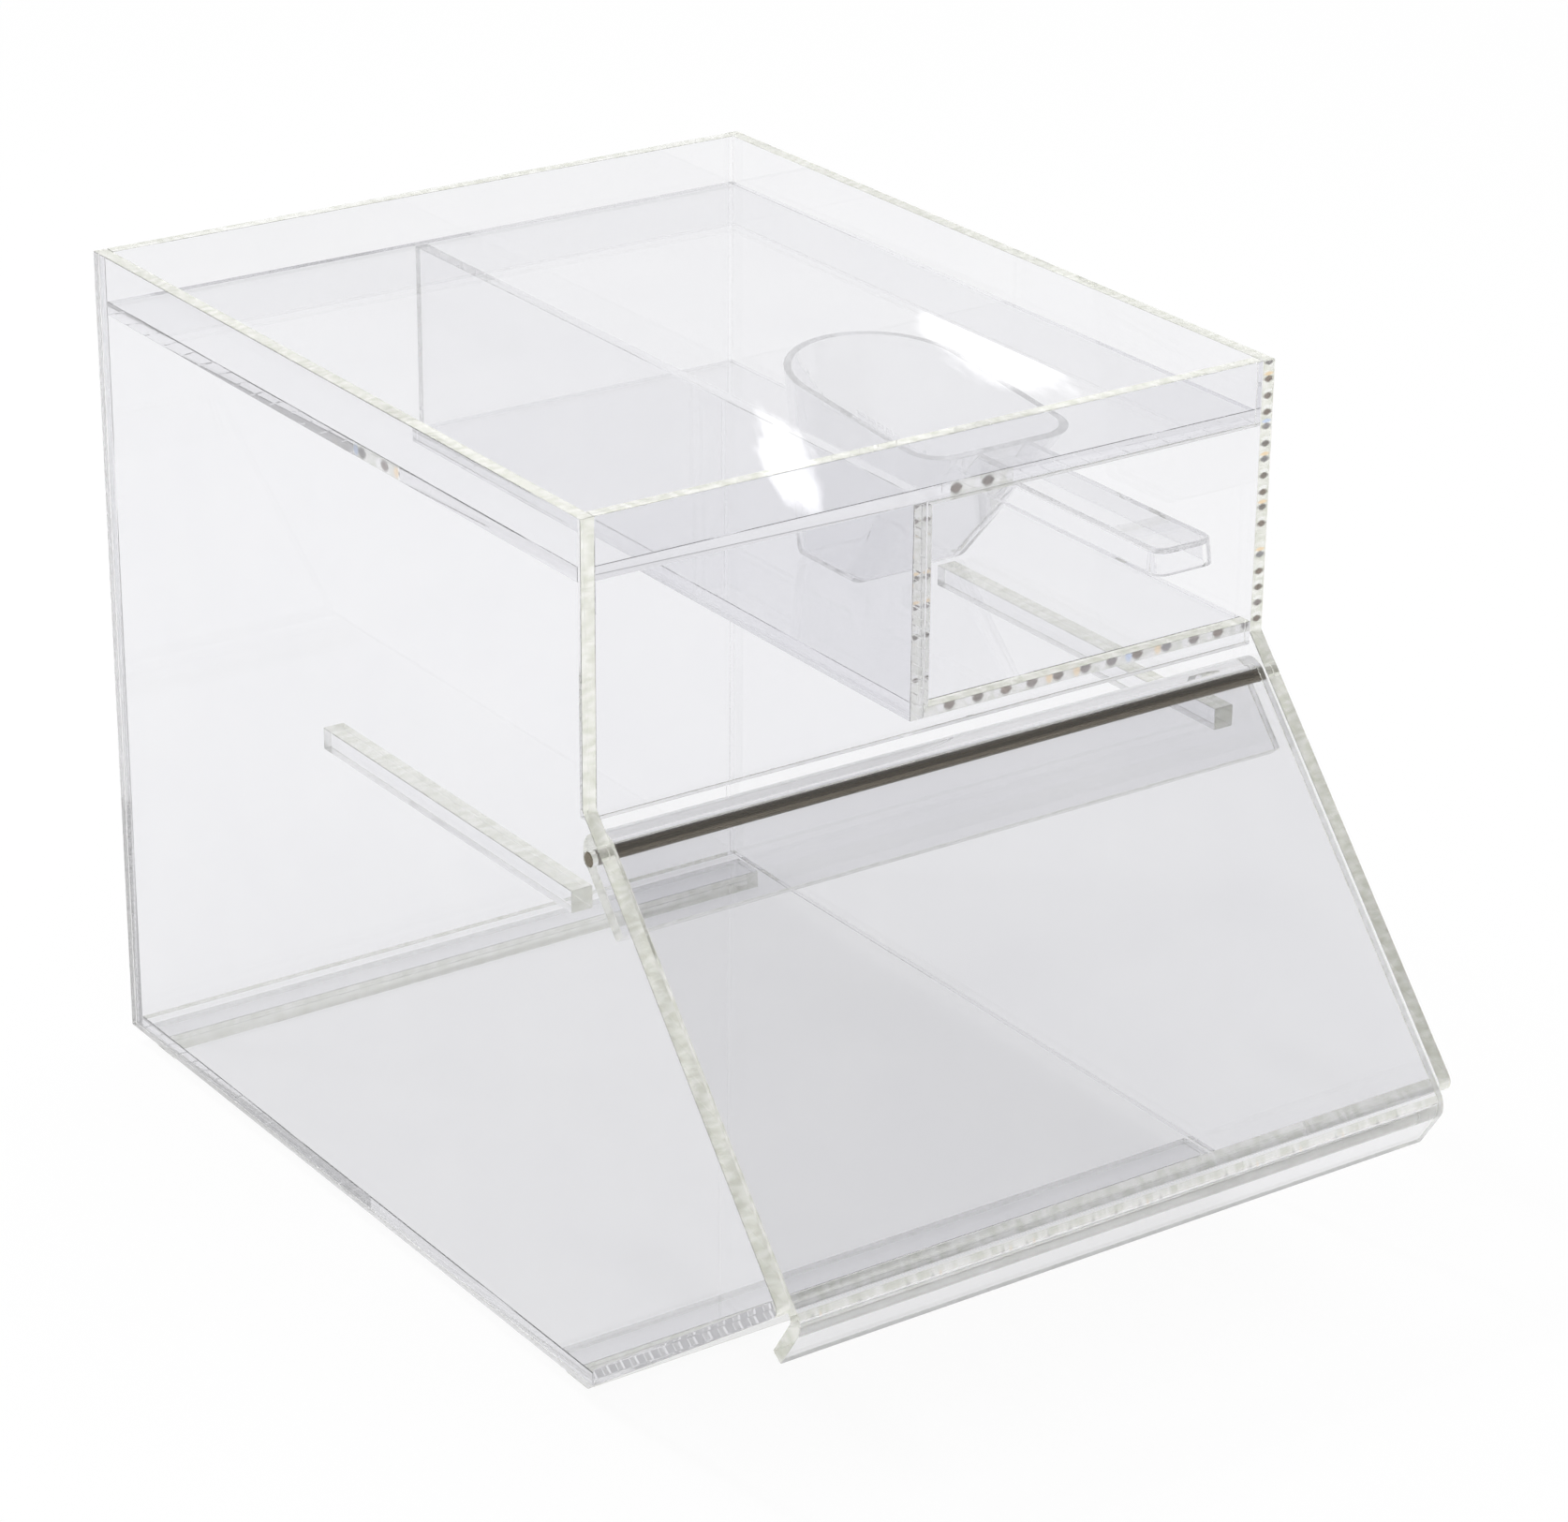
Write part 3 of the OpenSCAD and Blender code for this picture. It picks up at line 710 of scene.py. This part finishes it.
def scoop_piece():
    """The scoop: a moulded bowl with a sloping rim and a handle of channel section, open
    below."""
    lip_end = HANDLE_LENGTH + BACK_LEAN + BOTTOM_LENGTH + LIP_LEAN
    slope = math.atan2(LIP_HEIGHT - BACK_HEIGHT, lip_end - HANDLE_LENGTH)
    rim_normal = Vector((0, -math.sin(slope), math.cos(slope)))
    rim_point = Vector((0, HANDLE_LENGTH, BACK_HEIGHT))
    outer = bowl_form(0, 0, LIP_HEIGHT)
    bmesh.ops.bisect_plane(outer, geom=outer.verts[:] + outer.edges[:] + outer.faces[:], plane_co=rim_point,
                           plane_no=rim_normal, clear_outer=True)
    bmesh.ops.holes_fill(outer, edges=[e for e in outer.edges if e.is_boundary], sides=0)
    bar = handle_form(0, BACK_HEIGHT - HANDLE_HEIGHT, BACK_HEIGHT)
    top = [e for e in bar.edges if e.calc_face_angle() > math.radians(50)
           and all(abs(v.co.z - BACK_HEIGHT) < LEVEL_SLACK for v in e.verts)]
    bmesh.ops.bevel(bar, geom=top, offset=HANDLE_ROUND, segments=SMALL_ROUND_STEPS, profile=0.5,
                    affect="EDGES", material=-1)
    channel = handle_form(SCOOP_WALL, BACK_HEIGHT - HANDLE_HEIGHT - CUT_PAST, BACK_HEIGHT - SCOOP_WALL)
    inner = bowl_form(SCOOP_WALL, SCOOP_WALL, LIP_HEIGHT + CUT_PAST)
    # The handle joins the bowl before the bowl is hollowed, and the bowl's wall closes the channel
    handle = combined(loose_object(bar, "bar"), [("DIFFERENCE", loose_object(channel, "channel"))])
    bm = combined(loose_object(outer, "bowl_outer"), [
        ("UNION", loose_object(handle, "handle")),
        ("DIFFERENCE", loose_object(inner, "bowl_inner")),
    ])
    bmesh.ops.remove_doubles(bm, verts=bm.verts[:], dist=SCOOP_MERGE_WITHIN)
    rim_edges = [e for e in bm.edges if len(e.link_faces) == 2 and e.calc_face_angle() > math.radians(35)
                 and all(abs((v.co - rim_point).dot(rim_normal)) < RIM_WITHIN for v in e.verts)]
    bmesh.ops.bevel(bm, geom=rim_edges, offset=RIM_ROUND, segments=RIM_ROUND_STEPS, profile=0.5,
                    affect="EDGES", material=-1, clamp_overlap=True)
    bmesh.ops.translate(bm, verts=bm.verts[:], vec=scoop_seat)
    for face in bm.faces:
        face.smooth = True
        face.material_index = 0
    for edge in bm.edges:
        edge.smooth = len(edge.link_faces) == 2 and edge.calc_face_angle() < math.radians(25)
    hand_over(bm, "scoop", "scoop", [scoop_finish])


# The stretches of cut edge with painted saw marks, shade and highlights, and the share of them that shows
# there
right_upright_marks = (-Y, Z, rim - 92 * MM, rim, 0.85)
top_front_marks = (-Y, X, mouth_left + 8 * MM, mouth_left + 30 * MM, 0.95)
top_left_marks = (-X, Y, front_face + 98 * MM, front_face + 124 * MM, 0.95)
divider_back_marks = (Y, Z, mouth_low, mouth_high, 0.6)
floor_front_marks = (-Y, X, mouth_left, inner_right, 0.95)
# The ways that the cut edges of a level sheet face, when all four are welded
ALL_FOUR = (X, -X, Y, -Y)

# The pieces
side_panel_piece("left_side_panel", [])
side_panel_piece("right_side_panel", [right_upright_marks])
flat_piece("back_panel", Y, welded=(X, -X, -Z))
front_panel_piece()
flat_piece("top_plate", Z, pitch=11 * MM, marks=[top_front_marks, top_left_marks], welded=ALL_FOUR)
flat_piece("divider_panel", X, pitch=5 * MM, marks=[divider_back_marks], welded=(Y, -Y, Z, -Z))
flat_piece("compartment_floor", Z, pitch=10 * MM, marks=[floor_front_marks], welded=ALL_FOUR)
flat_piece("base_plate", Z, pitch=9 * MM, welded=ALL_FOUR)
chin_piece()
for bar in ("front_foot_bar", "rear_foot_bar"):
    flat_piece(bar, Z, pitch=9 * MM)
for bar in ("left_rail", "right_rail"):
    flat_piece(bar, X, pitch=6 * MM)
rod_piece()
lid_piece()
scoop_piece()


# How much of the floor's look is plain white, and not its lit paper with the shadows on it
SHARE_WHITE_DIRECT = 0.93
SHARE_WHITE_THROUGH = 0.7
SWEEP_HALF_WIDTH = 6.0
# Keeps the sweep clear of the foot bars' undersides
SWEEP_DROP = 0.02 * MM
# The room is dim overhead and in front of the bin
DIM_SIDE = Vector((0.35, -0.55, 0.75))
# Every reflection inside a sheet counts as a bounce, and with too few its edges turn black
BOUNCES = 96
LAMP_AIM = (0, 0, 0.1)


def studio_floor():
    """A matt white sweep that shows as white to the camera and through the plastic, and
    keeps a share of the shadows that fall on it."""
    bm = bmesh.new()
    bmesh.ops.create_grid(bm, x_segments=1, y_segments=1, size=SWEEP_HALF_WIDTH)
    mesh = bpy.data.meshes.new("sweep")
    bm.to_mesh(mesh)
    bm.free()
    floor = bpy.data.objects.new("sweep", mesh)
    floor.location.z = -SWEEP_DROP
    bpy.context.scene.collection.objects.link(floor)
    material, tree = new_material("matt_white_sweep")
    path = add(tree, "ShaderNodeLightPath")
    indirect = add(tree, "ShaderNodeMath", {
        0: path.outputs["Is Glossy Ray"], 1: path.outputs["Is Transmission Ray"],
    }, operation="MAXIMUM")
    through = add(tree, "ShaderNodeMath", {
        0: indirect.outputs["Value"], 1: SHARE_WHITE_THROUGH,
    }, operation="MULTIPLY")
    share = add(tree, "ShaderNodeMath", {
        0: path.outputs["Is Camera Ray"], 1: SHARE_WHITE_DIRECT, 2: through.outputs["Value"],
    }, operation="MULTIPLY_ADD")
    paper = add(tree, "ShaderNodeBsdfDiffuse", {"Color": linear("#ebebeb")})
    white = add(tree, "ShaderNodeEmission", {"Color": linear("#ffffff"), "Strength": 1.0})
    mixed = add(tree, "ShaderNodeMixShader", {
        0: share.outputs["Value"], 1: paper.outputs["BSDF"], 2: white.outputs["Emission"],
    })
    add(tree, "ShaderNodeOutputMaterial", {"Surface": mixed.outputs["Shader"]})
    mesh.materials.append(material)


def studio_air():
    """The room: a white sweep behind, and dimmer overhead and towards the front."""
    world = bpy.data.worlds.new("studio")
    world.use_nodes = True
    bpy.context.scene.world = world
    tree = world.node_tree
    tree.nodes.clear()
    ways = add(tree, "ShaderNodeTexCoord")
    facing = add(tree, "ShaderNodeVectorMath", {
        0: ways.outputs["Generated"], 1: DIM_SIDE.normalized(),
    }, operation="DOT_PRODUCT")
    shade = add(tree, "ShaderNodeMapRange", {
        "Value": facing.outputs["Value"],
        "From Min": -0.1, "From Max": 0.8, "To Min": 0.97, "To Max": 0.4,
    }, interpolation_type="SMOOTHSTEP")
    path = add(tree, "ShaderNodeLightPath")
    seen = add(tree, "ShaderNodeMath", {
        0: path.outputs["Is Camera Ray"], 1: path.outputs["Is Diffuse Ray"],
    }, operation="MAXIMUM")
    strength = add(tree, "ShaderNodeMix", {
        "Factor": seen.outputs["Value"], "A": shade.outputs["Result"], "B": 1.0,
    })
    room = add(tree, "ShaderNodeBackground", {
        "Color": linear("#ffffff"), "Strength": strength.outputs["Result"],
    })
    add(tree, "ShaderNodeOutputWorld", {"Surface": room.outputs["Background"]})


def softbox(name, place, width, height, power):
    """A soft lamp aimed at the bin. It lights things, but nothing mirrors or shows it."""
    lamp = bpy.data.lights.new(name, "AREA")
    lamp.shape = "RECTANGLE"
    lamp.size, lamp.size_y = width, height
    lamp.energy = power
    box = bpy.data.objects.new(name, lamp)
    box.location = place
    box.rotation_mode = "QUATERNION"
    box.rotation_quaternion = (Vector(LAMP_AIM) - Vector(place)).to_track_quat("-Z", "Y")
    box.visible_camera = False
    box.visible_transmission = False
    box.visible_glossy = False
    bpy.context.scene.collection.objects.link(box)


def glare(name, along, width, height, turn, power):
    """A far lamp that only shows as a bright patch in level sheets. along is the way to it,
    width and height are angles, and turn tips it. Its rim is soft and uneven."""
    away = 30.0
    lamp = bpy.data.lights.new(name, "AREA")
    lamp.shape = "RECTANGLE"
    lamp.use_nodes = True
    tree = lamp.node_tree
    tree.nodes.clear()
    spot = add(tree, "ShaderNodeNewGeometry").outputs["Parametric"]
    off = add(tree, "ShaderNodeVectorMath", {0: spot, 1: (0.5, 0.5, 0.0)}, operation="DISTANCE")
    ragged = add(tree, "ShaderNodeTexNoise", {"Vector": spot, "Scale": 3.0, "Detail": 3.0})
    reach = add(tree, "ShaderNodeMath", {
        0: ragged.outputs["Fac"], 1: -0.6, 2: off.outputs["Value"],
    }, operation="MULTIPLY_ADD")
    soft = add(tree, "ShaderNodeMapRange", {
        "Value": reach.outputs["Value"],
        "From Min": 0.16, "From Max": -0.1, "To Min": 0.0, "To Max": 1.0,
    }, interpolation_type="SMOOTHSTEP")
    shine = add(tree, "ShaderNodeEmission", {"Strength": soft.outputs["Result"]})
    add(tree, "ShaderNodeOutputLight", {"Surface": shine.outputs["Emission"]})
    lamp.size, lamp.size_y = width * away, height * away
    lamp.energy = power
    box = bpy.data.objects.new(name, lamp)
    to_lamp = Vector(along).normalized()
    box.location = Vector((0, 0, mouth_high)) + to_lamp * away
    box.rotation_mode = "QUATERNION"
    box.rotation_quaternion = (-to_lamp).to_track_quat("-Z", "Y") @ Quaternion(Z, turn)
    box.visible_camera = False
    box.visible_diffuse = False
    box.visible_transmission = False
    bpy.context.scene.collection.objects.link(box)


def studio_camera():
    """The photograph's standpoint, fitted to the box's corners."""
    aim = Vector((-0.0336, -0.0628, 0.1718))
    azimuth, elevation, roll = math.radians(-34.837), math.radians(23.620), math.radians(0.505)
    distance = 1.4079
    back = Vector((math.sin(azimuth) * math.cos(elevation), -math.cos(azimuth) * math.cos(elevation),
                   math.sin(elevation)))
    camera = bpy.data.objects.new("camera", bpy.data.cameras.new("camera"))
    camera.data.sensor_width = 36.0
    camera.data.lens = 112.374
    camera.location = aim + back * distance
    camera.rotation_mode = "QUATERNION"
    camera.rotation_quaternion = (-back).to_track_quat("-Z", "Y") @ Quaternion(Z, roll)
    bpy.context.scene.collection.objects.link(camera)
    bpy.context.scene.camera = camera


# The studio
studio_floor()
studio_air()
softbox("key", place=(-0.54, 0.69, 1.42), width=0.14, height=0.14, power=9)
softbox("fill", place=(1.2, -1.0, 1.9), width=1.6, height=1.6, power=4)
glare("window_left", along=(0.537, 0.770, 0.346), width=0.014, height=0.032,
      turn=math.radians(28), power=3.4)
glare("window_right", along=(0.576, 0.752, 0.322), width=0.046, height=0.015,
      turn=math.radians(-25), power=4.2)
studio_camera()

scene = bpy.context.scene
scene.view_settings.view_transform = "Standard"
scene.cycles.max_bounces = BOUNCES
scene.cycles.transmission_bounces = BOUNCES
scene.cycles.glossy_bounces = BOUNCES
scene.cycles.transparent_max_bounces = BOUNCES
